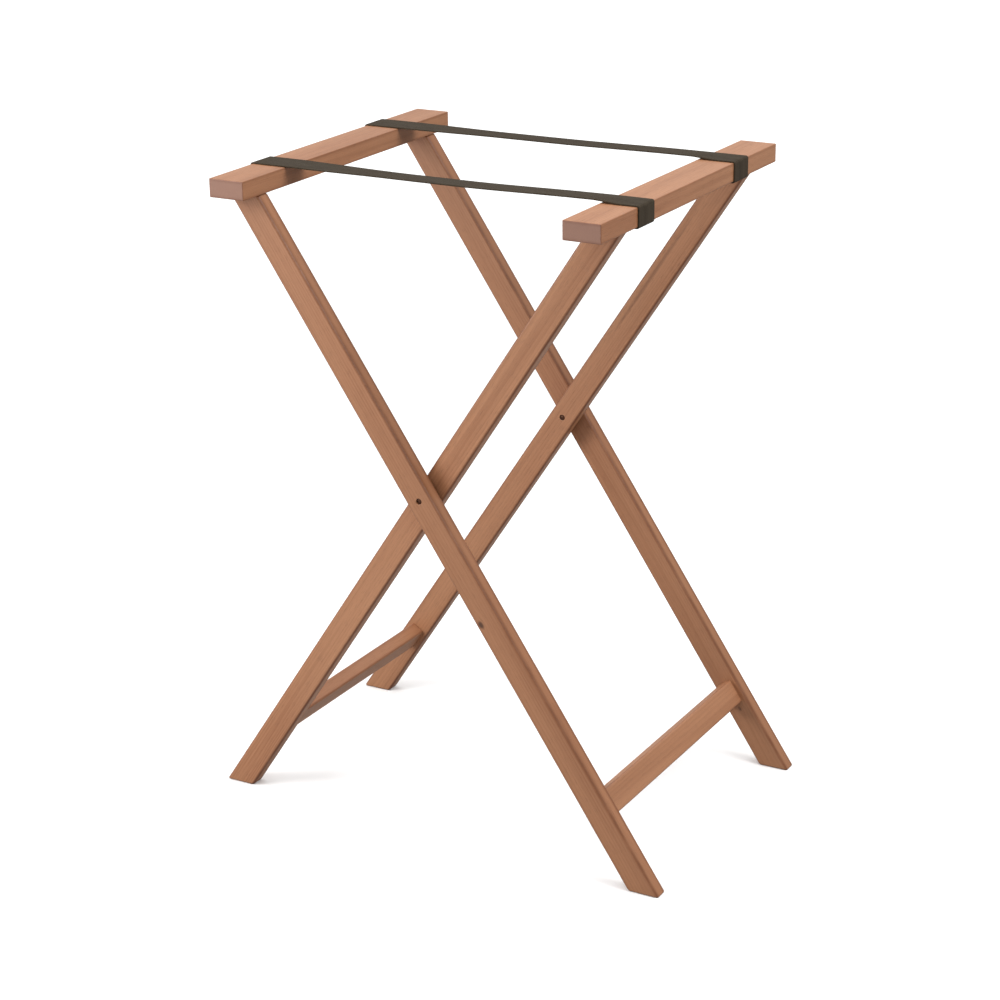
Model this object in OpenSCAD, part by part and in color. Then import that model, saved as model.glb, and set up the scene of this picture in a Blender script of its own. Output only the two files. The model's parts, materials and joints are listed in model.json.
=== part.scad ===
// Folding stand of two crossed wooden frames, held open by two webbing straps.
// Origin: on the floor, midway between the four feet. +Z up, the rails run along Y,
// the outer frame's rail is on the -X side. "Front" is the -Y side.

/* [Overall] */
// Height from the floor to the top of the rails
rack_h = 787; // [740:1:830]
// Distance from the middle of the stand to each rail's centre line
rail_x = 225; // [210:1:240]
// Distance from the middle of the stand to each foot's centre line
foot_x = 288; // [270:0.5:300]

/* [Rails] */
// Length of a rail, front to back
rail_l = 456; // [450:1:480]
// Width of a rail
rail_w = 46; // [40:1:50]
// Thickness of a rail
rail_t = 22; // [18:1:24]
// Radius on a rail's long edges
rail_edge_r = 1.2; // [1:0.1:3]

/* [Legs] */
// Width of a leg, seen from the front
leg_w = 32.5; // [28:0.5:35]
// Thickness of a leg, front to back
leg_t = 20; // [18:0.5:22]
// Radius on a leg's long edges
leg_edge_r = 3; // [1:0.1:4]
// Distance from the middle of the stand to the outer legs' outer faces
leg_outer_y = 197; // [190:1:205]
// Gap between an outer leg and the inner leg beside it
leg_gap = 4.6; // [3.6:0.1:6]
// How far the legs' centre lines meet the rails inside the rails' own centre lines
leg_top_inset = 1.5; // [0:0.5:4]

/* [Stretchers] */
// Width of a stretcher, along the legs
stretcher_w = 32.5; // [26:0.5:36]
// Thickness of a stretcher
stretcher_t = 20; // [14:0.5:22]
// Distance from the foot to the stretcher's centre line, along the leg
stretcher_up = 109.5; // [90:0.5:160]
// Radius on a stretcher's long edges
stretcher_edge_r = 2.5; // [1:0.1:3]

/* [Pivots] */
// Diameter of a pivot rivet's shank
rivet_d = 5; // [4:0.5:6]
// Diameter of a rivet's head and of the burr on its other end
rivet_head_d = 6.6; // [6.4:0.1:7]
// Diameter of the recess that the head or the burr sits in
recess_d = 7.4; // [7.4:0.1:9]
// Depth of the recess
recess_depth = 3; // [2.6:0.1:4]
// Diameter of the spacer between an outer and an inner leg
spacer_d = 18; // [12:1:22]

/* [Straps] */
// Width of the webbing
strap_w = 38; // [30:1:42]
// Thickness of the webbing
strap_t = 1.8; // [1.4:0.1:2.4]
// Distance from the middle of the stand to each strap's centre line
strap_y = 124; // [100:1:128]
// Length of webbing turned in under each rail
strap_tuck = 30; // [26:1:34]

/* [Joinery] */
// Diameter of the dowels
dowel_d = 8; // [6:1:8]
// Distance between the two dowels of a joint
dowel_pitch = 14; // [12:1:16]
// How far a dowel goes into each of the two pieces that it joins
dowel_grip = 12; // [10:1:13]
// Diameter of a tack's head
tack_head_d = 7; // [5:0.5:9]
// Diameter of a tack's shank
tack_d = 1.8; // [1.5:0.1:2.5]
// Length of a tack's shank
tack_l = 12; // [10:1:15]

/* [Hidden] */
$fn = 48;
far = 2000;                                  // longer than anything in the stand
under_rail = rack_h - rail_t;
leg_top_x = rail_x - leg_top_inset;          // a leg's centre line where it meets the rail
lean = atan((foot_x + leg_top_x) / under_rail);
leg_l = under_rail / cos(lean);
pivot_z = foot_x / tan(lean);
outer_leg_y = leg_outer_y - leg_t / 2;       // centre of an outer leg's thickness
inner_leg_y = outer_leg_y - leg_t - leg_gap; // centre of an inner leg's thickness
spacer_play = 0.3;                           // from the spacer to the inner leg
running_play = 0.05;                         // radial play of a rivet in its bores
dowel_play = 0.04;                           // radial play of a dowel in its hole
rivet_head_t = 1.6;                          // half of it straight, half tapered
burr_t = 1.2;
burr_play = 0.4;                             // from the burr to the floor of its recess
tail_t = 0.7;                                // spread end of the rivet, past the burr
tail_spread = 0.8;                           // how much wider the tail is than the shank
tail_taper = 1.4;                            // how much the tail narrows to its end
head_crown = 0.6;                            // a head's flat top, as a share of its width
tack_head_t = 1;
tack_play = 0.05;
tack_inset = 12;                             // from the strap's end to its tacks
tack_pitch = 20;                             // between the two tacks of a strap end
span_gap = 0.3;                              // from a strap's span to the rail that moves
span_l = 2 * rail_x - rail_w;                // between the two rails

wood = [0.69, 0.50, 0.38];
end_wood = [0.80, 0.66, 0.48];
webbing = [0.25, 0.24, 0.22];
steel = [0.30, 0.26, 0.24];
nylon = [0.16, 0.15, 0.15];

// ---- shared shapes ----

// A rectangle centred on the origin with rounded corners
module rounded_rect(w, t, r) {
    square([w - 2 * r, t], center = true);
    square([w, t - 2 * r], center = true);
    for (x = [-1, 1], y = [-1, 1])
        translate([x * (w / 2 - r), y * (t / 2 - r)]) circle(r);
}

// A round bar along Y, from y0 to y1, centred on the X and Z given
module bar_y(x, z, d, y0, y1) {
    translate([x, y0, z]) rotate([-90, 0, 0]) cylinder(d = d, h = y1 - y0);
}

// Stands its children at a leg's foot, with their Z along the leg.
// foot is 1 for a leg of the outer frame and -1 for one of the inner frame.
module along_leg(foot, y) {
    translate([foot * foot_x, y, 0]) rotate([0, -foot * lean, 0]) children();
}

// The pair of dowel axes of a joint: d is the dowel's diameter, along Z
module dowel_pair(d, h) {
    for (s = [-1, 1])
        translate([s * dowel_pitch / 2, 0, 0]) cylinder(d = d, h = h, center = true);
}

// Dowels between a frame's leg tops and its rail
module rail_dowel_set(foot, y, d) {
    for (side = [-1, 1])
        along_leg(foot, side * y) translate([0, 0, leg_l]) dowel_pair(d, 2 * dowel_grip);
}

// Dowels between a frame's stretcher and its legs. face is the legs' inner face.
module stretcher_dowel_set(foot, face, d) {
    for (side = [-1, 1])
        along_leg(foot, side * face) translate([0, 0, stretcher_up])
            rotate([90, 90, 0]) dowel_pair(d, 2 * dowel_grip);
}

// ---- wood ----

module rail(side) {
    foot = -side;
    y = side < 0 ? outer_leg_y : inner_leg_y;
    difference() {
        translate([side * rail_x, rail_l / 2, rack_h - rail_t / 2]) rotate([90, 0, 0])
            linear_extrude(rail_l) rounded_rect(rail_w, rail_t, rail_edge_r);
        rail_dowel_set(foot, y, dowel_d + 2 * dowel_play);
        tack_set(side, tack_d + 2 * tack_play, 0);
    }
}

// recess is the Y direction of the face with the pivot's recess
module leg(foot, y, recess) {
    recess_y = y + recess * (leg_t / 2 - recess_depth);
    difference() {
        intersection() {
            along_leg(foot, y) translate([0, 0, -leg_w]) linear_extrude(leg_l + 2 * leg_w)
                rounded_rect(leg_w, leg_t, leg_edge_r);
            translate([-far / 2, -far / 2, 0]) cube([far, far, under_rail]);
        }
        bar_y(0, pivot_z, rivet_d + 2 * running_play, y - leg_t, y + leg_t);
        bar_y(0, pivot_z, recess_d, min(recess_y, recess_y + recess * leg_t),
              max(recess_y, recess_y + recess * leg_t));
        rail_dowel_set(foot, abs(y), dowel_d + 2 * dowel_play);
        stretcher_dowel_set(foot, abs(y) - leg_t / 2, dowel_d + 2 * dowel_play);
    }
}

module stretcher(foot, leg_y) {
    face = leg_y - leg_t / 2;
    difference() {
        along_leg(foot, face) translate([0, 0, stretcher_up]) rotate([90, 0, 0])
            linear_extrude(2 * face) rounded_rect(stretcher_t, stretcher_w, stretcher_edge_r);
        stretcher_dowel_set(foot, face, dowel_d + 2 * dowel_play);
    }
}

// ---- pivots ----

// A rivet along Y, head on the outer leg's outer face. side is -1 at the front.
module pivot_rivet(side) {
    head_y = leg_outer_y - recess_depth;
    burr_y = inner_leg_y - leg_t / 2 + recess_depth - burr_play;
    tail_y = burr_y - burr_t;
    translate([0, 0, pivot_z]) rotate([side < 0 ? 90 : -90, 0, 0]) {
        translate([0, 0, tail_y - tail_t])
            cylinder(d1 = rivet_d + tail_spread - tail_taper, d2 = rivet_d + tail_spread, h = tail_t);
        translate([0, 0, tail_y]) cylinder(d = rivet_d, h = head_y - tail_y);
        translate([0, 0, head_y]) cylinder(d = rivet_head_d, h = rivet_head_t / 2);
        translate([0, 0, head_y + rivet_head_t / 2])
            cylinder(d1 = rivet_head_d, d2 = rivet_head_d * head_crown, h = rivet_head_t / 2);
    }
}

// A ring around the pivot, from y0 out to y1
module pivot_ring(side, d, y0, y1) {
    lo = min(side * y0, side * y1);
    hi = max(side * y0, side * y1);
    difference() {
        bar_y(0, pivot_z, d, lo, hi);
        bar_y(0, pivot_z, rivet_d + 2 * running_play, lo - 1, hi + 1);
    }
}

module pivot_spacer(side) {
    face = outer_leg_y - leg_t / 2;
    pivot_ring(side, spacer_d, face - leg_gap + spacer_play, face);
}

module pivot_burr(side) {
    outer = inner_leg_y - leg_t / 2 + recess_depth - burr_play;
    pivot_ring(side, rivet_head_d, outer - burr_t, outer);
}

// ---- straps ----

// Webbing over a rail's top, down its outer face and in under it
module strap_wrap(side, y) {
    outer_x = rail_w / 2 + strap_t;
    translate([side * rail_x, y + strap_w / 2, 0]) rotate([90, 0, 0]) difference() {
        linear_extrude(strap_w) mirror([side < 0 ? 1 : 0, 0]) difference() {
            translate([0, under_rail - strap_t]) union() {
                translate([-rail_w / 2, strap_t]) square([rail_w, rail_t + strap_t]);
                translate([rail_w / 2 - strap_tuck, 0]) square([strap_tuck, rail_t]);
                translate([rail_w / 2, strap_t]) square([strap_t, rail_t]);
                for (z = [strap_t, strap_t + rail_t])
                    translate([rail_w / 2, z]) circle(strap_t);
            }
            translate([-rail_w, under_rail]) square([rail_w * 1.5, rail_t]);
        }
        for (s = [-1, 1])
            translate([side * (rail_w / 2 - strap_tuck + tack_inset), under_rail,
                       strap_w / 2 + s * tack_pitch / 2])
                rotate([90, 0, 0]) cylinder(d = tack_d + 2 * tack_play, h = 4 * strap_t, center = true);
    }
}

// Webbing stretched between the rails
module strap_span(y) {
    translate([-span_l / 2, y - strap_w / 2, rack_h])
        cube([span_l - span_gap, strap_w, strap_t]);
}

// Tacks that hold both straps to one rail. head_t is 0 for their holes alone.
module tack_set(side, d, head_t) {
    x = side * (rail_x + rail_w / 2 - strap_tuck + tack_inset);
    for (y = [-strap_y, strap_y], s = [-1, 1])
        translate([x, y + s * tack_pitch / 2, under_rail - strap_t]) {
            cylinder(d = d, h = tack_l);
            if (head_t > 0)
                translate([0, 0, -head_t])
                    cylinder(d1 = tack_head_d * head_crown, d2 = tack_head_d, h = head_t);
        }
}

// ---- the sub-parts ----

module outer_top_rail() { color(wood) rail(-1); }
module inner_top_rail() { color(wood) rail(1); }
module outer_leg_front() { color(wood) leg(1, -outer_leg_y, -1); }
module outer_leg_back() { color(wood) leg(1, outer_leg_y, 1); }
module inner_leg_front() { color(wood) leg(-1, -inner_leg_y, 1); }
module inner_leg_back() { color(wood) leg(-1, inner_leg_y, -1); }
module outer_stretcher() { color(wood) stretcher(1, outer_leg_y); }
module inner_stretcher() { color(wood) stretcher(-1, inner_leg_y); }
module outer_rail_dowels() { color(end_wood) rail_dowel_set(1, outer_leg_y, dowel_d); }
module inner_rail_dowels() { color(end_wood) rail_dowel_set(-1, inner_leg_y, dowel_d); }
module outer_stretcher_dowels() {
    color(end_wood) stretcher_dowel_set(1, outer_leg_y - leg_t / 2, dowel_d);
}
module inner_stretcher_dowels() {
    color(end_wood) stretcher_dowel_set(-1, inner_leg_y - leg_t / 2, dowel_d);
}
module pivot_rivet_front() { color(steel) pivot_rivet(-1); }
module pivot_rivet_back() { color(steel) pivot_rivet(1); }
module pivot_spacer_front() { color(nylon) pivot_spacer(-1); }
module pivot_spacer_back() { color(nylon) pivot_spacer(1); }
module pivot_burr_front() { color(steel) pivot_burr(-1); }
module pivot_burr_back() { color(steel) pivot_burr(1); }
module strap_front_outer_wrap() { color(webbing) strap_wrap(-1, -strap_y); }
module strap_front_span() { color(webbing) strap_span(-strap_y); }
module strap_front_inner_wrap() { color(webbing) strap_wrap(1, -strap_y); }
module strap_back_outer_wrap() { color(webbing) strap_wrap(-1, strap_y); }
module strap_back_span() { color(webbing) strap_span(strap_y); }
module strap_back_inner_wrap() { color(webbing) strap_wrap(1, strap_y); }
module outer_strap_tacks() { color(steel) tack_set(-1, tack_d, tack_head_t); }
module inner_strap_tacks() { color(steel) tack_set(1, tack_d, tack_head_t); }

outer_top_rail();
inner_top_rail();
outer_leg_front();
outer_leg_back();
inner_leg_front();
inner_leg_back();
outer_stretcher();
inner_stretcher();
outer_rail_dowels();
inner_rail_dowels();
outer_stretcher_dowels();
inner_stretcher_dowels();
pivot_rivet_front();
pivot_rivet_back();
pivot_spacer_front();
pivot_spacer_back();
pivot_burr_front();
pivot_burr_back();
strap_front_outer_wrap();
strap_front_span();
strap_front_inner_wrap();
strap_back_outer_wrap();
strap_back_span();
strap_back_inner_wrap();
outer_strap_tacks();
inner_strap_tacks();
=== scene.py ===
"""Looks of a folding luggage rack: stained timber, woven webbing and small metal parts."""

import json
import math

import bmesh
import bpy
from mathutils import Matrix, Vector


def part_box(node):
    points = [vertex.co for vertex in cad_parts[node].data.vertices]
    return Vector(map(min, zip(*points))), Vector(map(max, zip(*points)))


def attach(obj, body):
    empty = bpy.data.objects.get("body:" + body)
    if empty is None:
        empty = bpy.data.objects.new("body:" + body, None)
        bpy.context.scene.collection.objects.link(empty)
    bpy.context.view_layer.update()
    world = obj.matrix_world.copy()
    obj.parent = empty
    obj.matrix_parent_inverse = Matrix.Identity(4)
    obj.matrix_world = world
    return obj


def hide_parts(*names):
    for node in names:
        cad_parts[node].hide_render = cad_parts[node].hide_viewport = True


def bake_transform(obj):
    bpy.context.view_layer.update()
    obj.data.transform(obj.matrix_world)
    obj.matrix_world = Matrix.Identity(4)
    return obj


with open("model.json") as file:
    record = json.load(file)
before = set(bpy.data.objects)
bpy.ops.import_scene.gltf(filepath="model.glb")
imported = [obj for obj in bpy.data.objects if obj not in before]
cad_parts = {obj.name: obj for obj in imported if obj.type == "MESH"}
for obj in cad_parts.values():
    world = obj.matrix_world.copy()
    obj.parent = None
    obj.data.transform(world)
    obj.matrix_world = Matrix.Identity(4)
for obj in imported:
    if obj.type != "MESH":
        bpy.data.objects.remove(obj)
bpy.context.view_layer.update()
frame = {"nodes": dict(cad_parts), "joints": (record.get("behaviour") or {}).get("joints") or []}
X, Y, Z = Vector((1, 0, 0)), Vector((0, 1, 0)), Vector((0, 0, 1))


# ---------------------------------------------------------------- camera

view_azimuth = math.radians(29.44)
view_elevation = math.radians(19.83)
view_roll = math.radians(-0.68)
view_distance = 3.0103
view_lens = 89.65
view_aim = Vector((0.0001, -0.0086, 0.3726))


def add_camera():
    back = Vector((
        math.sin(view_azimuth) * math.cos(view_elevation),
        -math.cos(view_azimuth) * math.cos(view_elevation),
        math.sin(view_elevation),
    ))
    level = Z.cross(back).normalized()
    upright = Matrix((level, back.cross(level), back)).transposed()
    turned = upright @ Matrix.Rotation(view_roll, 3, "Z")
    data = bpy.data.cameras.new("Camera")
    data.lens = view_lens
    camera = bpy.data.objects.new("Camera", data)
    camera.matrix_world = Matrix.Translation(view_aim + view_distance * back) @ turned.to_4x4()
    bpy.context.scene.collection.objects.link(camera)
    bpy.context.scene.camera = camera


add_camera()


# ---------------------------------------------------------------- sizes, from the frame

def middle(low, high):
    return (low + high) / 2


pivot = Vector(frame["joints"][0]["pos_m"])
rail_low, rail_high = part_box("outer_top_rail")
rail_x = -middle(rail_low, rail_high).x
rail_w, rail_l, rail_t = rail_high - rail_low
rail_top, under_rail = rail_high.z, rail_low.z
leg_low, leg_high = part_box("outer_leg_front")
# The leg's centre line passes through the pivot, and its box reaches half a cut width past
# the line at the foot and at the rail.
lean = math.atan2(leg_high.x + leg_low.x, 2 * pivot.z - under_rail)
leg_w = 2 * (leg_high.x - pivot.z * math.tan(lean)) * math.cos(lean)
leg_t = leg_high.y - leg_low.y
outer_leg_y = -middle(leg_low, leg_high).y
inner_leg_y = -middle(*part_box("inner_leg_front")).y
strap_low, strap_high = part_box("strap_front_outer_wrap")
strap_w = strap_high.y - strap_low.y
strap_y = -middle(strap_low, strap_high).y
strap_t = strap_high.z - rail_top

rail_edge_r = 0.0012
leg_edge_r = 0.003
foot_edge_r = 0.0028
stretcher_edge_r = 0.0025
rail_end_r = 0.002
stretcher_end_r = 0.0003
recess_r = 0.0037
recess_depth = 0.003
rivet_r = 0.0025
bore_r = 0.00255


# ---------------------------------------------------------------- node graphs

class Graph:
    """A node tree that is being wired. Each method adds a node and returns its output."""

    def __init__(self, tree):
        self.tree = tree

    def node(self, kind, **settings):
        made = self.tree.nodes.new("ShaderNode" + kind)
        for name, value in settings.items():
            setattr(made, name, value)
        return made

    def feed(self, socket, value):
        if isinstance(value, bpy.types.NodeSocket):
            self.tree.links.new(value, socket)
        elif value is not None:
            socket.default_value = value

    def math(self, operation, *values):
        made = self.node("Math", operation=operation)
        for socket, value in zip(made.inputs, values):
            self.feed(socket, value)
        return made.outputs[0]

    def vector(self, operation, *values):
        made = self.node("VectorMath", operation=operation)
        for socket, value in zip(made.inputs, values):
            self.feed(socket, value)
        return made.outputs["Value" if operation in ("LENGTH", "DOT_PRODUCT") else "Vector"]

    def place(self, vector, kind="POINT", location=(0, 0, 0), rotation=(0, 0, 0), scale=(1, 1, 1)):
        made = self.node("Mapping", vector_type=kind)
        self.feed(made.inputs["Vector"], vector)
        if kind == "POINT":
            made.inputs["Location"].default_value = location
        made.inputs["Rotation"].default_value = rotation
        made.inputs["Scale"].default_value = scale
        return made.outputs[0]

    def noise(self, vector, scale, detail=2.0, roughness=0.5, output="Fac"):
        made = self.node("TexNoise")
        self.feed(made.inputs["Vector"], vector)
        made.inputs["Scale"].default_value = scale
        made.inputs["Detail"].default_value = detail
        made.inputs["Roughness"].default_value = roughness
        return made.outputs[output]

    def smooth(self, value, low, high, to_low=0.0, to_high=1.0):
        made = self.node("MapRange", interpolation_type="SMOOTHSTEP")
        for socket, v in zip(made.inputs, (value, low, high, to_low, to_high)):
            self.feed(socket, v)
        return made.outputs[0]

    def mix(self, factor, a, b, blend="MIX"):
        made = self.node("Mix", data_type="RGBA", blend_type=blend)
        self.feed(made.inputs[0], factor)
        self.feed(made.inputs[6], a)
        self.feed(made.inputs[7], b)
        return made.outputs[2]

    def parts(self, vector):
        made = self.node("SeparateXYZ")
        self.feed(made.inputs[0], vector)
        return made.outputs

    def group(self, tree, **values):
        made = self.node("Group", node_tree=tree)
        for name, value in values.items():
            self.feed(made.inputs[name.replace("_", " ")], value)
        return made.outputs

    def bump(self, height, distance, strength=1.0):
        made = self.node("Bump")
        made.inputs["Distance"].default_value = distance
        made.inputs["Strength"].default_value = strength
        self.feed(made.inputs["Height"], height)
        return made.outputs[0]


def new_group(name, inputs, outputs):
    """An empty node group with sockets of the types named, its graph, inputs and outputs."""
    tree = bpy.data.node_groups.new(name, "ShaderNodeTree")
    for way, sockets in (("INPUT", inputs), ("OUTPUT", outputs)):
        for socket, kind in sockets.items():
            tree.interface.new_socket(socket, in_out=way, socket_type="NodeSocket" + kind)
    given = tree.nodes.new("NodeGroupInput").outputs
    result = tree.nodes.new("NodeGroupOutput").inputs
    return tree, Graph(tree), given, result


def new_material(name, roughness, **settings):
    """A material with a Principled shader, its graph, and the shader's inputs."""
    material = bpy.data.materials.new(name)
    material.use_nodes = True
    shader = material.node_tree.nodes["Principled BSDF"].inputs
    shader["Roughness"].default_value = roughness
    for socket, value in settings.items():
        shader[socket.replace("_", " ")].default_value = value
    return material, Graph(material.node_tree), shader


# ---------------------------------------------------------------- shared effects

def timber_group():
    """Straight-grained timber in a board's own coordinates: X across, Y through, Z along."""
    tree, g, given, result = new_group(
        "Timber",
        {"Vector": "Vector", "Normal": "Vector", "Pith": "Vector"},
        {"Color": "Color", "Roughness": "Float", "Height": "Float"},
    )
    board = given["Vector"]
    drift = g.noise(g.place(board, scale=(14, 14, 1.1)), 1, output="Color")
    bent = g.vector("MULTIPLY_ADD", drift, (0.022, 0.022, 0), board)
    from_pith = g.vector("MULTIPLY", g.vector("SUBTRACT", bent, given["Pith"]), (1, 1, 0))
    ring_pitch = 0.0031
    ring = g.math("FRACT", g.math("DIVIDE", g.vector("LENGTH", from_pith), ring_pitch))
    late_wood = g.math("MULTIPLY", g.smooth(ring, 0.3, 0.9), g.smooth(ring, 1.0, 0.92))
    fibre = g.noise(g.place(board, scale=(1300, 1300, 20)), 1, 3)
    pores = g.smooth(g.noise(g.place(board, scale=(2600, 2600, 75)), 1, 1), 0.6, 0.74)
    figure = g.noise(g.place(board, scale=(60, 60, 2.4)), 1, 3)
    broad = g.noise(g.place(board, scale=(16, 16, 3.0)), 1, 2)

    tone = g.math("MULTIPLY", late_wood, 0.22)
    tone = g.math("ADD", tone, g.smooth(fibre, 0.3, 0.75, 0, 0.22))
    tone = g.math("ADD", tone, g.smooth(figure, 0.3, 0.72, 0, 0.42))
    colour = g.mix(tone, (0.505, 0.238, 0.121, 1), (0.281, 0.107, 0.045, 1))
    colour = g.mix(g.smooth(broad, 0.3, 0.7, 0, 0.35), colour, (0.427, 0.212, 0.112, 1))
    colour = g.mix(g.math("MULTIPLY", pores, 0.45), colour, (0.16, 0.07, 0.035, 1))
    along = g.math("ABSOLUTE", g.parts(given["Normal"])["Z"])
    end_grain = g.smooth(along, 0.6, 0.85)
    colour = g.mix(g.math("MULTIPLY", end_grain, 0.85), colour, (0.31, 0.178, 0.14, 1))
    g.feed(result["Color"], colour)

    rough = g.math("MULTIPLY_ADD", fibre, 0.16, 0.40)
    rough = g.math("MULTIPLY_ADD", pores, 0.12, rough)
    g.feed(result["Roughness"], g.math("MULTIPLY_ADD", end_grain, 0.16, rough))
    height = g.math("MULTIPLY_ADD", fibre, 0.35, g.math("MULTIPLY", late_wood, 0.25))
    g.feed(result["Height"], g.math("MULTIPLY_ADD", pores, -0.7, height))
    return tree


def painted_edge_shade_group():
    """A mask of painted shade that is 1 on a board's edges and 0 at Reach from them.

    It reaches less far over the wide faces than over the narrow ones."""
    tree, g, given, result = new_group(
        "Painted edge shade", {"Vector": "Vector", "Half": "Vector", "Reach": "Float"}, {"Mask": "Float"}
    )
    inside = g.vector("SUBTRACT", given["Half"], g.vector("ABSOLUTE", given["Vector"]))
    x, y, z = g.parts(g.vector("MULTIPLY", inside, (2.5, 1, 2.5)))
    least = g.math("MINIMUM", x, y)
    most = g.math("MAXIMUM", x, y)
    second = g.math("MAXIMUM", least, g.math("MINIMUM", most, z))
    patchy = g.noise(g.place(given["Vector"], scale=(120, 120, 25)), 1, 3)
    # Painted shade, strongest right on the edge and a little patchy.
    shade_near_edge = g.smooth(second, given["Reach"], 0.0)
    g.feed(result["Mask"], g.math("MULTIPLY", shade_near_edge, g.smooth(patchy, 0.25, 0.6, 0.6, 1.0)))
    return tree


def knot_group():
    """Pushes the grain aside round a knot or a streak of the size given, and masks it."""
    tree, g, given, result = new_group(
        "Knot",
        {"Vector": "Vector", "Place": "Vector", "Size": "Vector"},
        {"Vector": "Vector", "Mask": "Float"},
    )
    away = g.vector("SUBTRACT", given["Vector"], given["Place"])
    swirl = g.noise(g.place(away, scale=(260, 260, 90)), 1, 2)
    distance = g.vector("LENGTH", g.vector("DIVIDE", away, given["Size"]))
    core = g.smooth(g.math("MULTIPLY_ADD", swirl, 0.7, distance), 1.5, 0.7)
    push = g.vector("MULTIPLY", g.smooth(distance, 4.0, 0.0), (-0.6, 0, 0))
    g.feed(result["Vector"], g.vector("MULTIPLY_ADD", away, push, given["Vector"]))
    g.feed(result["Mask"], core)
    return tree


def weave_group():
    """Plain weave in flat cloth coordinates in metres: X across the webbing, Y along it."""
    tree, g, given, result = new_group(
        "Weave",
        {"Vector": "Vector", "Warp": "Float", "Weft": "Float"},
        {"Height": "Float", "Yarn": "Float", "Warp Up": "Float"},
    )
    u, v = g.parts(given["Vector"])[:2]
    a, b = g.math("DIVIDE", u, given["Warp"]), g.math("DIVIDE", v, given["Weft"])
    column, row = g.math("FLOOR", a), g.math("FLOOR", b)

    def yarn(across, counter, over):
        """Height of a round yarn that rises and dips as it passes the others."""
        off_centre = g.math("SUBTRACT", g.math("FRACT", across), 0.5)
        crown = g.math("COSINE", g.math("MULTIPLY", off_centre, math.pi))
        wave = g.math("SINE", g.math("MULTIPLY", g.math("ADD", over, counter), math.pi))
        return g.math("MULTIPLY_ADD", wave, 0.35, g.math("MULTIPLY", crown, 0.6))

    warp = g.math("ADD", yarn(a, column, b), 0.12)
    weft = yarn(b, g.math("ADD", row, 1.0), a)
    g.feed(result["Height"], g.math("MAXIMUM", warp, weft))
    cell = g.node("CombineXYZ")
    g.feed(cell.inputs[0], column)
    g.feed(cell.inputs[1], g.math("FLOOR", g.math("MULTIPLY", row, 0.08)))
    shade = g.node("TexWhiteNoise")
    g.feed(shade.inputs["Vector"], cell.outputs[0])
    g.feed(result["Yarn"], shade.outputs["Value"])
    g.feed(result["Warp Up"], g.math("GREATER_THAN", warp, weft))
    return tree


def scuff_group():
    """Fine scratches and cloudiness for small metal and plastic pieces."""
    tree, g, given, result = new_group(
        "Scuffs", {"Vector": "Vector"}, {"Mask": "Float", "Height": "Float"}
    )
    cloud = g.noise(given["Vector"], 900, 3)
    lines = g.noise(g.place(given["Vector"], scale=(400, 400, 6000)), 1, 2)
    rubbed = g.math("MULTIPLY", g.smooth(cloud, 0.35, 0.7), g.smooth(lines, 0.3, 0.8))
    g.feed(result["Mask"], rubbed)
    g.feed(result["Height"], g.math("MULTIPLY_ADD", lines, 0.5, cloud))
    return tree


timber, painted_edge_shade, knot_eye = timber_group(), painted_edge_shade_group(), knot_group()
weave, scuffs = weave_group(), scuff_group()


# ---------------------------------------------------------------- finishes

def stained_wood(name, turn, centre, half, pith, depth, edge, reach, knot=None):
    """Satin stained timber for one board, with its grain along the board.

    depth darkens a board that took more stain, edge is how dark the painted shade on its edges is
    and reach how wide, and knot is the place, half size and strength of a knot or a streak."""
    material, g, shader = new_material(
        name + "_stain", 0.45, Coat_Weight=0.1, Coat_Roughness=0.3, IOR=1.48
    )
    source = g.node("TexCoord").outputs
    angles = turn.to_euler("XYZ")
    board = g.place(source["Object"], location=-(turn @ centre), rotation=angles)
    normal = g.place(source["Normal"], kind="VECTOR", rotation=angles)
    rim = g.group(painted_edge_shade, Vector=board, Half=half, Reach=reach)["Mask"]
    grain = board
    if knot is not None:
        place, size, strength = knot
        bent = g.group(knot_eye, Vector=board, Place=place, Size=size)
        grain = bent["Vector"]
    # The shift gives each board its own piece of the pattern, and the rings centre on the pith.
    shift = pith * 7.3
    wood = g.group(timber, Vector=g.vector("ADD", grain, shift), Normal=normal, Pith=shift + pith)
    colour = g.mix(depth, wood["Color"], (0.22, 0.085, 0.034, 1))
    # Painted shade: the board's edges are darkened where the arrises turn away from the lamps.
    colour = g.mix(g.math("MULTIPLY", rim, edge), colour, (0.15, 0.042, 0.010, 1))
    if knot is not None:
        eye = g.math("MULTIPLY", bent["Mask"], strength)
        colour = g.mix(eye, colour, (0.085, 0.035, 0.018, 1))
    g.feed(shader["Base Color"], colour)
    g.feed(shader["Roughness"], wood["Roughness"])
    g.feed(shader["Normal"], g.bump(wood["Height"], 0.00012, 0.6))
    return material


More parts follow.
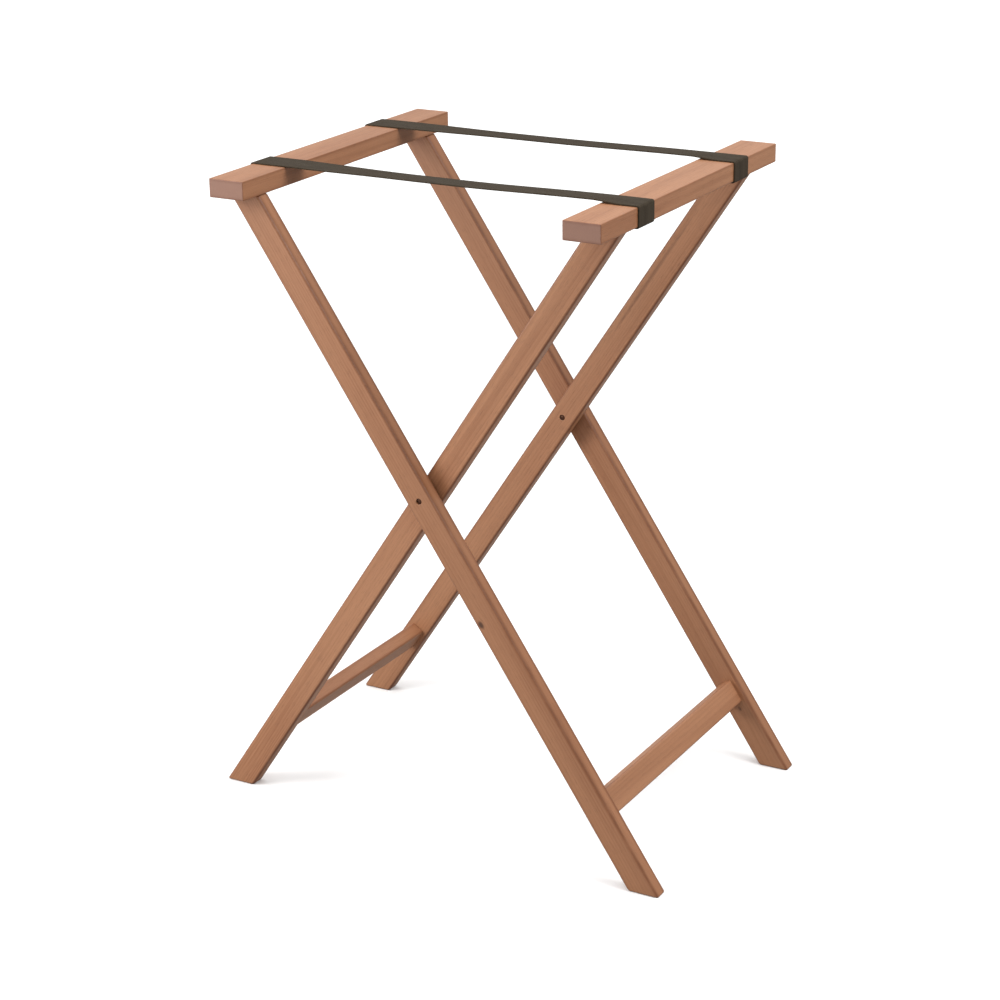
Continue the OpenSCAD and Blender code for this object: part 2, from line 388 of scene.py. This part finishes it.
def webbing_cloth():
    """Charcoal plain-woven webbing. Its weave follows the strap's own map, in metres."""
    material, g, shader = new_material(
        "webbing_cloth", 0.85, Specular_IOR_Level=0.12, Sheen_Weight=0.02, Sheen_Roughness=0.5
    )
    flat = g.node("UVMap", uv_map="webbing").outputs[0]
    cloth = g.group(weave, Vector=flat, Warp=0.00115, Weft=0.0017)
    fuzz = g.noise(g.place(flat, scale=(5200, 5200, 1)), 1, 2)
    broad = g.noise(g.place(flat, scale=(60, 16, 1)), 1, 2)
    colour = g.mix(cloth["Yarn"], (0.040, 0.029, 0.018, 1), (0.056, 0.042, 0.027, 1))
    # Painted shade: the low places of the weave, between the yarns, are darkened.
    colour = g.mix(g.smooth(cloth["Height"], 0.0, 0.7, 0.5, 0.0), colour, (0.018, 0.016, 0.014, 1))
    colour = g.mix(g.smooth(broad, 0.3, 0.7, 0, 0.35), colour, (0.064, 0.050, 0.034, 1))
    g.feed(shader["Base Color"], colour)
    g.feed(shader["Roughness"], g.smooth(fuzz, 0.2, 0.8, 0.75, 0.95))
    height = g.math("MULTIPLY_ADD", fuzz, 0.25, cloth["Height"])
    g.feed(shader["Normal"], g.bump(height, 0.00035, 0.8))
    return material


def scuffed(name, colour, rub, roughness, metallic, depth):
    """A plain finish with fine scratches that show the colour under it."""
    material, g, shader = new_material(name, roughness, Metallic=metallic)
    marks = g.group(scuffs, Vector=g.node("TexCoord").outputs["Object"])
    g.feed(shader["Base Color"], g.mix(marks["Mask"], (*colour, 1), (*rub, 1)))
    g.feed(shader["Roughness"], g.smooth(marks["Mask"], 0.0, 1.0, roughness, roughness * 0.7))
    g.feed(shader["Normal"], g.bump(marks["Height"], depth, 0.5))
    return material


def bare_dowel_wood():
    """Pale, unstained wood with a faint grain."""
    material, g, shader = new_material("bare_dowel_wood", 0.6)
    source = g.node("TexCoord").outputs
    wood = g.group(timber, Vector=source["Object"], Normal=source["Normal"], Pith=(0.05, 0.08, 0))
    g.feed(shader["Base Color"], g.mix(0.75, wood["Color"], (0.60, 0.42, 0.25, 1)))
    g.feed(shader["Roughness"], g.math("ADD", wood["Roughness"], 0.2))
    g.feed(shader["Normal"], g.bump(wood["Height"], 0.0001, 0.5))
    return material


bronzed_steel = scuffed(
    "bronzed_steel", (0.085, 0.034, 0.018), (0.19, 0.10, 0.065),
    roughness=0.5, metallic=0.8, depth=0.00004,
)
blued_steel = scuffed(
    "blued_steel", (0.045, 0.045, 0.05), (0.16, 0.16, 0.165),
    roughness=0.38, metallic=0.9, depth=0.00003,
)
black_nylon = scuffed(
    "black_nylon", (0.030, 0.028, 0.027), (0.06, 0.056, 0.053),
    roughness=0.55, metallic=0.0, depth=0.00003,
)
dowel_wood = bare_dowel_wood()
webbing = webbing_cloth()


# ---------------------------------------------------------------- making pieces

def new_piece(name, bm, material):
    """Closes a bmesh into an object at the origin, shaded smooth up to a sharp edge."""
    bmesh.ops.remove_doubles(bm, verts=bm.verts, dist=1e-7)
    bmesh.ops.recalc_face_normals(bm, faces=bm.faces)
    mesh = bpy.data.meshes.new(name)
    bm.to_mesh(mesh)
    bm.free()
    mesh.polygons.foreach_set("use_smooth", [True] * len(mesh.polygons))
    mesh.set_sharp_from_angle(angle=math.radians(40))
    mesh.materials.append(material)
    piece = bpy.data.objects.new(name, mesh)
    bpy.context.scene.collection.objects.link(piece)
    return piece


def stand_for(piece, body, slot, *nodes):
    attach(piece, body)
    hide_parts(*nodes)


def turned(outline, place, steps=48, ring=False):
    """Spins an outline of (radius, height) points about Z, then moves it by place."""
    bm = bmesh.new()
    corners = [bm.verts.new((radius, 0, height)) for radius, height in outline]
    ends = corners[1:] + corners[:1] if ring else corners[1:]
    lines = [bm.edges.new(pair) for pair in zip(corners, ends)]
    bmesh.ops.spin(
        bm, geom=corners + lines, cent=(0, 0, 0), axis=(0, 0, 1),
        angle=math.tau, steps=steps, use_merge=True,
    )
    bmesh.ops.remove_doubles(bm, verts=bm.verts, dist=1e-6)
    bmesh.ops.transform(bm, matrix=place, verts=bm.verts)
    return bm


def facing(direction, point):
    """A placement whose Z points in the direction given, at the point given."""
    turn = Vector(direction).to_track_quat("Z", "X").to_matrix().to_4x4()
    return Matrix.Translation(point) @ turn


def arc(centre, radius, start, end, steps):
    """Points of an arc, angles in degrees."""
    angles = [math.radians(start + (end - start) * i / steps) for i in range(steps + 1)]
    return [(centre[0] + radius * math.cos(a), centre[1] + radius * math.sin(a)) for a in angles]


def flat_arc(radius, rise, height, start, end, steps):
    """Points of an arc about the axis that is flattened to the rise given, at a height."""
    return [(x, height + y * rise / radius) for x, y in arc((0, 0), radius, start, end, steps)]


# ---------------------------------------------------------------- timber

def board_turn(along, across):
    """The rotation that takes the frame to a board's own axes: across, through, along."""
    return Matrix((across, along.cross(across), along))


def to_place(bm, turn, centre):
    """Moves a board from its own axes to its place in the frame."""
    place = Matrix.Translation(centre) @ turn.transposed().to_4x4()
    bmesh.ops.transform(bm, matrix=place, verts=bm.verts)


def block(size, edge_r, end_r, cuts=()):
    """A rounded board about its own origin. Cuts are planes in its own coordinates."""
    bm = bmesh.new()
    bmesh.ops.create_cube(bm, size=1)
    bmesh.ops.scale(bm, vec=size, verts=bm.verts)
    for point, normal in cuts:
        everything = bm.verts[:] + bm.edges[:] + bm.faces[:]
        cut = bmesh.ops.bisect_plane(
            bm, geom=everything, plane_co=point, plane_no=normal, clear_outer=True
        )
        rim = [e for e in cut["geom_cut"] if isinstance(e, bmesh.types.BMEdge)]
        bmesh.ops.edgeloop_fill(bm, edges=rim)

    def slope(edge):
        return abs((edge.verts[0].co - edge.verts[1].co).normalized().z)

    long_edges = [e for e in bm.edges if slope(e) > 0.99]
    bmesh.ops.bevel(
        bm, geom=long_edges, offset=edge_r, segments=6, affect="EDGES", profile=0.5,
        material=-1, clamp_overlap=True,
    )
    bm.normal_update()
    ends = [f for f in bm.faces if abs(f.normal.z) > 0.7]
    rims = list({e for f in ends for e in f.edges})
    bmesh.ops.bevel(
        bm, geom=rims, offset=end_r, segments=4, affect="EDGES", profile=0.5,
        material=-1, clamp_overlap=True,
    )
    return bm


def drill(piece, bit_bm):
    """Takes the bit's shape out of a piece."""
    bit = new_piece("drill_bit", bit_bm, piece.data.materials[0])
    modifier = piece.modifiers.new("Drill", "BOOLEAN")
    modifier.object, modifier.solver = bit, "EXACT"
    graph = bpy.context.evaluated_depsgraph_get()
    drilled = bpy.data.meshes.new_from_object(piece.evaluated_get(graph))
    piece.modifiers.clear()
    piece.data = drilled
    bpy.data.objects.remove(bit)


def finish_board(piece, body, node):
    """Keeps the flat faces of a board flat to the light, and lets it stand for its node."""
    weighted = piece.modifiers.new("Flat faces", "WEIGHTED_NORMAL")
    weighted.keep_sharp = True
    weighted.weight = 80
    stand_for(piece, body, "stained_wood", node)


def leg(node, body, lean_side, y, recess_side, pith, depth, knot=None):
    """A leg cut level at both ends, with a bore and a recess for the pivot.

    lean_side is 1 for a leg whose foot is at +X, and recess_side the Y way its recess faces."""
    along = Vector((-lean_side * math.sin(lean), 0, math.cos(lean)))
    across = Vector((math.cos(lean), 0, lean_side * math.sin(lean)))
    turn, centre = board_turn(along, across), Vector((0, y, pivot.z))
    spare = 2 * leg_w
    up, down = (under_rail - pivot.z) / math.cos(lean), pivot.z / math.cos(lean)
    length = 2 * (max(up, down) + spare)
    level = turn @ Z
    cuts = [
        (turn @ Vector((0, 0, -pivot.z)), -level),
        (turn @ Vector((0, 0, under_rail - pivot.z)), level),
    ]
    bm = block((leg_w, leg_t, length), leg_edge_r, foot_edge_r, cuts)
    to_place(bm, turn, centre)
    half = leg_w / 2, leg_t / 2, length
    material = stained_wood(
        node, turn, centre, half, Vector(pith), depth, edge=0.9, reach=0.0085, knot=knot
    )
    piece = new_piece(node + ".timber", bm, material)
    floor, rim, chamfer = leg_t / 2 - recess_depth, leg_t / 2, 0.0003
    top = rim + 3 * chamfer
    outline = [
        (0, -leg_t), (bore_r, -leg_t), (bore_r, floor), (recess_r, floor),
        (recess_r, rim - chamfer), (recess_r + 4 * chamfer, top), (0, top),
    ]
    drill(piece, turned(outline, facing((0, recess_side, 0), centre)))
    finish_board(piece, body, node)


def cross_board(node, body, centre, across, size, edge_r, end_r, pith, depth, edge):
    """A rail or a stretcher, with its grain from front to back."""
    turn = board_turn(Y, across)
    bm = block(size, edge_r, end_r)
    to_place(bm, turn, centre)
    half = tuple(s / 2 for s in size)
    material = stained_wood(node, turn, centre, half, Vector(pith), depth, edge, reach=0.0045)
    finish_board(new_piece(node + ".timber", bm, material), body, node)


def stretcher(node, body, lean_side, pith, depth):
    """A stretcher that leans with the legs. lean_side is 1 for the legs whose feet are at +X."""
    low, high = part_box(node)
    along_leg = Vector((-lean_side * math.sin(lean), 0, math.cos(lean)))
    reach = high.x - low.x, high.z - low.z
    c, s = math.cos(lean), math.sin(lean)
    # A leaning section's box reaches width * s + thickness * c over X, and the other way round
    # over Z.
    width = (reach[1] * c - reach[0] * s) / (c * c - s * s)
    thickness = (reach[0] * c - reach[1] * s) / (c * c - s * s)
    size = width, thickness, high.y - low.y
    cross_board(
        node, body, middle(low, high), along_leg, size, stretcher_edge_r, stretcher_end_r,
        pith, depth, edge=0.5,
    )


def top_rail(node, body, side, pith, depth):
    """A rail that lies flat on the leg tops. side is -1 for the rail at -X."""
    centre = Vector((side * rail_x, 0, middle(under_rail, rail_top)))
    size = rail_w, rail_t, rail_l
    cross_board(node, body, centre, X, size, rail_edge_r, rail_end_r, pith, depth, edge=0.4)


top_rail("outer_top_rail", "outer_frame", -1, (-0.004, 0.0105, -0.011), 0.2)
top_rail("inner_top_rail", "inner_frame", 1, (0.004, 0.0105, 0.011), 0.14)

# Place in the leg's own axes, half size, and strength
low_knot = (-0.0098, -0.0095, -0.158), (0.0040, 0.0080, 0.0062), 0.95
long_streak = (-0.0075, -0.0095, 0.235), (0.0028, 0.0060, 0.105), 0.38
small_knot = (0.0006, -0.0095, -0.432), (0.0022, 0.0050, 0.0040), 0.55
leg("outer_leg_front", "outer_frame", 1, -outer_leg_y, -1, (-0.006, 0.009, 0.02), 0.24, low_knot)
leg("outer_leg_back", "outer_frame", 1, outer_leg_y, 1, (0.003, 0.011, -0.03), 0.28, small_knot)
leg("inner_leg_front", "inner_frame", -1, -inner_leg_y, 1, (0.008, 0.008, 0.04), 0.0)
leg("inner_leg_back", "inner_frame", -1, inner_leg_y, -1, (-0.002, 0.012, 0.07), 0.05, long_streak)
stretcher("outer_stretcher", "outer_frame", 1, (0.005, 0.010, 0.09), 0.19)
stretcher("inner_stretcher", "inner_frame", -1, (-0.007, 0.009, -0.08), 0.25)


# ---------------------------------------------------------------- pivots

def pivot_set(name, side):
    """The rivet, its spacer and its burr at one pivot. side is -1 at the front."""
    def span_of(node):
        """How near and how far from the middle a node reaches, and its radius."""
        low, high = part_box(node)
        near, far = sorted((side * low.y, side * high.y))
        return near, far, (high.x - low.x) / 2

    out = facing((0, side, 0), (0, 0, pivot.z))
    tail, crown, head_r = span_of("pivot_rivet_" + name)
    burr_in, burr_out, burr_r = span_of("pivot_burr_" + name)
    head = outer_leg_y + leg_t / 2 - recess_depth
    lip = 0.0003
    brim = head + 0.0004
    dome = flat_arc(head_r, crown - brim, brim, 0, 90, 8)
    swage = flat_arc(rivet_r * 1.16, burr_in - tail, burr_in, -90, 0, 5)
    shank = [(rivet_r, burr_in + 0.0002), (rivet_r, head), (head_r - lip, head)]
    outline = swage + shank + dome
    rivet = new_piece(f"pivot_rivet_{name}.steel", turned(outline, out), bronzed_steel)
    stand_for(rivet, "outer_frame", "rivet_steel", "pivot_rivet_" + name)

    def ring(near, far, rim):
        """A ring round the rivet, with its outer corners eased."""
        outline = [
            (bore_r, near), (rim - lip, near), (rim, near + lip), (rim, far - lip),
            (rim - lip, far), (bore_r, far),
        ]
        return turned(outline, out, ring=True)

    washer = ring(burr_in, burr_out, burr_r)
    burr = new_piece(f"pivot_burr_{name}.steel", washer, bronzed_steel)
    stand_for(burr, "outer_frame", "rivet_steel", "pivot_burr_" + name)

    disc = ring(*span_of("pivot_spacer_" + name))
    spacer = new_piece(f"pivot_spacer_{name}.nylon", disc, black_nylon)
    stand_for(spacer, "outer_frame", "spacer_nylon", "pivot_spacer_" + name)


pivot_set("front", -1)
pivot_set("back", 1)


# ---------------------------------------------------------------- straps and tacks

cloth_t = 0.0016
strap_tuck = 0.030
inner_edge = rail_x - rail_w / 2
# A strap twists over this length from the left rail, and lies down over this length to a place
# this far onto the right rail.
twist_in, twist_out, twist_end = 0.14, 0.04, 0.028


def strap_route():
    """The middle of a strap's thickness, as (x, z) points.

    It starts under the outer rail, goes up its outer face, over to the other rail and
    under that."""
    off = strap_t - cloth_t / 2
    corner_r = rail_edge_r + off
    up = rail_t - 2 * rail_edge_r
    over = 2 * rail_x + rail_w - 2 * rail_edge_r
    tuck = strap_tuck - rail_edge_r
    x, z, heading = -rail_x - rail_w / 2 + strap_tuck, under_rail - off, 180.0
    points = [(x, z)]
    for length, steps in ((tuck, 8), (up, 6), (over, 124), (up, 6), (tuck, 8)):
        if len(points) > 1:
            a = math.radians(heading)
            centre = x + corner_r * math.sin(a), z - corner_r * math.cos(a)
            points += arc(centre, corner_r, heading + 90, heading, 6)[1:]
            heading -= 90
            x, z = points[-1]
        a = math.radians(heading)
        dx, dz = math.cos(a) * length, math.sin(a) * length
        points += [(x + dx * i / steps, z + dz * i / steps) for i in range(1, steps + 1)]
        x, z = points[-1]
    return points


def smoothstep(t):
    t = min(1.0, max(0.0, t))
    return t * t * (3 - 2 * t)


def strap(name, y, sag, tilt):
    """One strap of webbing, made from its flat cut and taken along its route.

    sag is how far the middle of the span hangs, and tilt how far the span twists, with its
    front edge up. The webbing starts to twist as it leaves the left rail, and near the right
    rail it stands on its back edge and lies down only once it is on the rail."""
    route = strap_route()
    steps = [0.0]
    for (x0, z0), (x1, z1) in zip(route, route[1:]):
        steps.append(steps[-1] + math.hypot(x1 - x0, z1 - z0))
    columns = 10
    bm = bmesh.new()
    bmesh.ops.create_grid(bm, x_segments=len(route) - 1, y_segments=columns, size=1)
    bm.verts.index_update()
    flat = {}
    for v in bm.verts:
        i = round((v.co.x + 1) / 2 * (len(route) - 1))
        flat[v.index] = (i, v.co.y * strap_w / 2)
    layer = bm.loops.layers.uv.new("webbing")
    for f in bm.faces:
        for loop in f.loops:
            i, side = flat[loop.vert.index]
            loop[layer].uv = (side, steps[i])
    for v in bm.verts:
        i, side = flat[v.index]
        x, z = route[i]
        if z > rail_top:
            z -= sag * max(0, 1 - (x / inner_edge) ** 2)
            rising = smoothstep((x + inner_edge) / twist_in)
            lying_down = smoothstep((inner_edge + twist_end - x) / twist_out)
            twist = tilt * rising * lying_down
            hinge = strap_w / 2 * smoothstep((x - 0.02) / 0.15)
            z += (hinge - side) * math.sin(twist)
            side = hinge - (hinge - side) * math.cos(twist)
        v.co = (x, y + side, z)
    piece = new_piece(name + ".webbing", bm, webbing)
    thick = piece.modifiers.new("Thickness", "SOLIDIFY")
    thick.thickness, thick.offset = cloth_t, 0
    selvage = piece.modifiers.new("Selvage", "BEVEL")
    selvage.width, selvage.segments = 0.0005, 2
    selvage.limit_method, selvage.angle_limit = "ANGLE", math.radians(60)
    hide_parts(*(f"{name}_{part}" for part in ("outer_wrap", "span", "inner_wrap")))
    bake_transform(piece)


strap("strap_front", -strap_y, 0.0014, math.radians(3.9))
strap("strap_back", strap_y, 0.0003, math.radians(3.6))


def tacks(node, body):
    """Domed tacks driven up through the strap ends into the underside of a rail."""
    low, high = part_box(node)
    head_r, pitch, head_t, shank_r = 0.0035, 0.020, 0.001, 0.0009
    brim, point_start, point = 0.0002, 0.0095, high.z - low.z - head_t
    shank = [(head_r * 0.92, brim), (shank_r, brim), (shank_r, point_start), (0, point)]
    outline = flat_arc(head_r, head_t, 0, -90, 0, 6) + shank
    bm = bmesh.new()
    x = middle(low, high).x
    for y in (-strap_y, strap_y):
        for side in (-1, 1):
            spot = Matrix.Translation((x, y + side * pitch / 2, low.z + head_t))
            one = turned(outline, spot, steps=24)
            part = bpy.data.meshes.new("tack")
            one.to_mesh(part)
            one.free()
            bm.from_mesh(part)
            bpy.data.meshes.remove(part)
    piece = new_piece(node + ".steel", bm, blued_steel)
    stand_for(piece, body, "tack_steel", node)


tacks("outer_strap_tacks", "outer_frame")
tacks("inner_strap_tacks", "inner_frame")

for side in ("outer", "inner"):
    for joint in ("rail", "stretcher"):
        dowels = frame["nodes"][f"{side}_{joint}_dowels"].data
        dowels.materials.clear()
        dowels.materials.append(dowel_wood)


# ---------------------------------------------------------------- studio

def add_floor():
    """White paper that gives back less light than it shows, and is pure white far out."""
    bm = bmesh.new()
    bmesh.ops.create_grid(bm, x_segments=1, y_segments=1, size=9)
    material, g, shader = new_material("floor_paper", 0.9, Specular_IOR_Level=0.1)
    seen = g.node("LightPath").outputs["Is Camera Ray"]
    g.feed(shader["Base Color"], g.mix(seen, (0.36, 0.35, 0.34, 1), (0.99, 0.99, 0.99, 1)))
    far = g.smooth(g.vector("LENGTH", g.node("TexCoord").outputs["Object"]), 1.2, 4.0)
    glow = g.math("MULTIPLY", seen, far)
    g.feed(shader["Emission Color"], g.mix(glow, (0, 0, 0, 1), (0.3, 0.3, 0.3, 1)))
    shader["Emission Strength"].default_value = 1
    floor = new_piece("floor", bm, material)


def add_light(name, place, aim, size, power):
    data = bpy.data.lights.new(name, "AREA")
    data.shape = "RECTANGLE"
    data.size, data.size_y = size
    data.energy = power
    lamp = bpy.data.objects.new(name, data)
    away = Vector(place) - Vector(aim)
    turn = away.to_track_quat("Z", "Y").to_matrix().to_4x4()
    lamp.matrix_world = Matrix.Translation(place) @ turn
    bpy.context.scene.collection.objects.link(lamp)


def add_world():
    """Soft light from all round, stronger from overhead and from behind, on white."""
    world = bpy.data.worlds.new("studio")
    bpy.context.scene.world = world
    world.use_nodes = True
    g = Graph(world.node_tree)
    background = world.node_tree.nodes["Background"]
    background.inputs["Color"].default_value = (1, 1, 1, 1)
    toward = g.node("TexCoord").outputs["Generated"]
    overhead = g.smooth(g.vector("DOT_PRODUCT", toward, (0, 0, 1)), 0.2, 1.0, 0, 1.25)
    back_left = g.vector("DOT_PRODUCT", toward, (-0.46, 0.82, 0.34))
    behind = g.smooth(back_left, 0.55, 1.0, 0, 0.3)
    lit = g.math("ADD", g.math("ADD", overhead, behind), 0.2)
    seen = g.node("LightPath").outputs["Is Camera Ray"]
    shown = g.math("MULTIPLY", seen, 3.0)
    g.feed(background.inputs["Strength"], g.math("ADD", lit, shown))


bpy.context.scene.view_settings.view_transform = "Standard"
add_world()
add_floor()
light_aim = (0, 0, 0.45)
add_light("key_box", (-1.5, -1.5, 1.2), light_aim, (1.0, 1.2), 35)
add_light("side_box", (1.7, -0.1, 2.2), light_aim, (1.2, 1.2), 27)
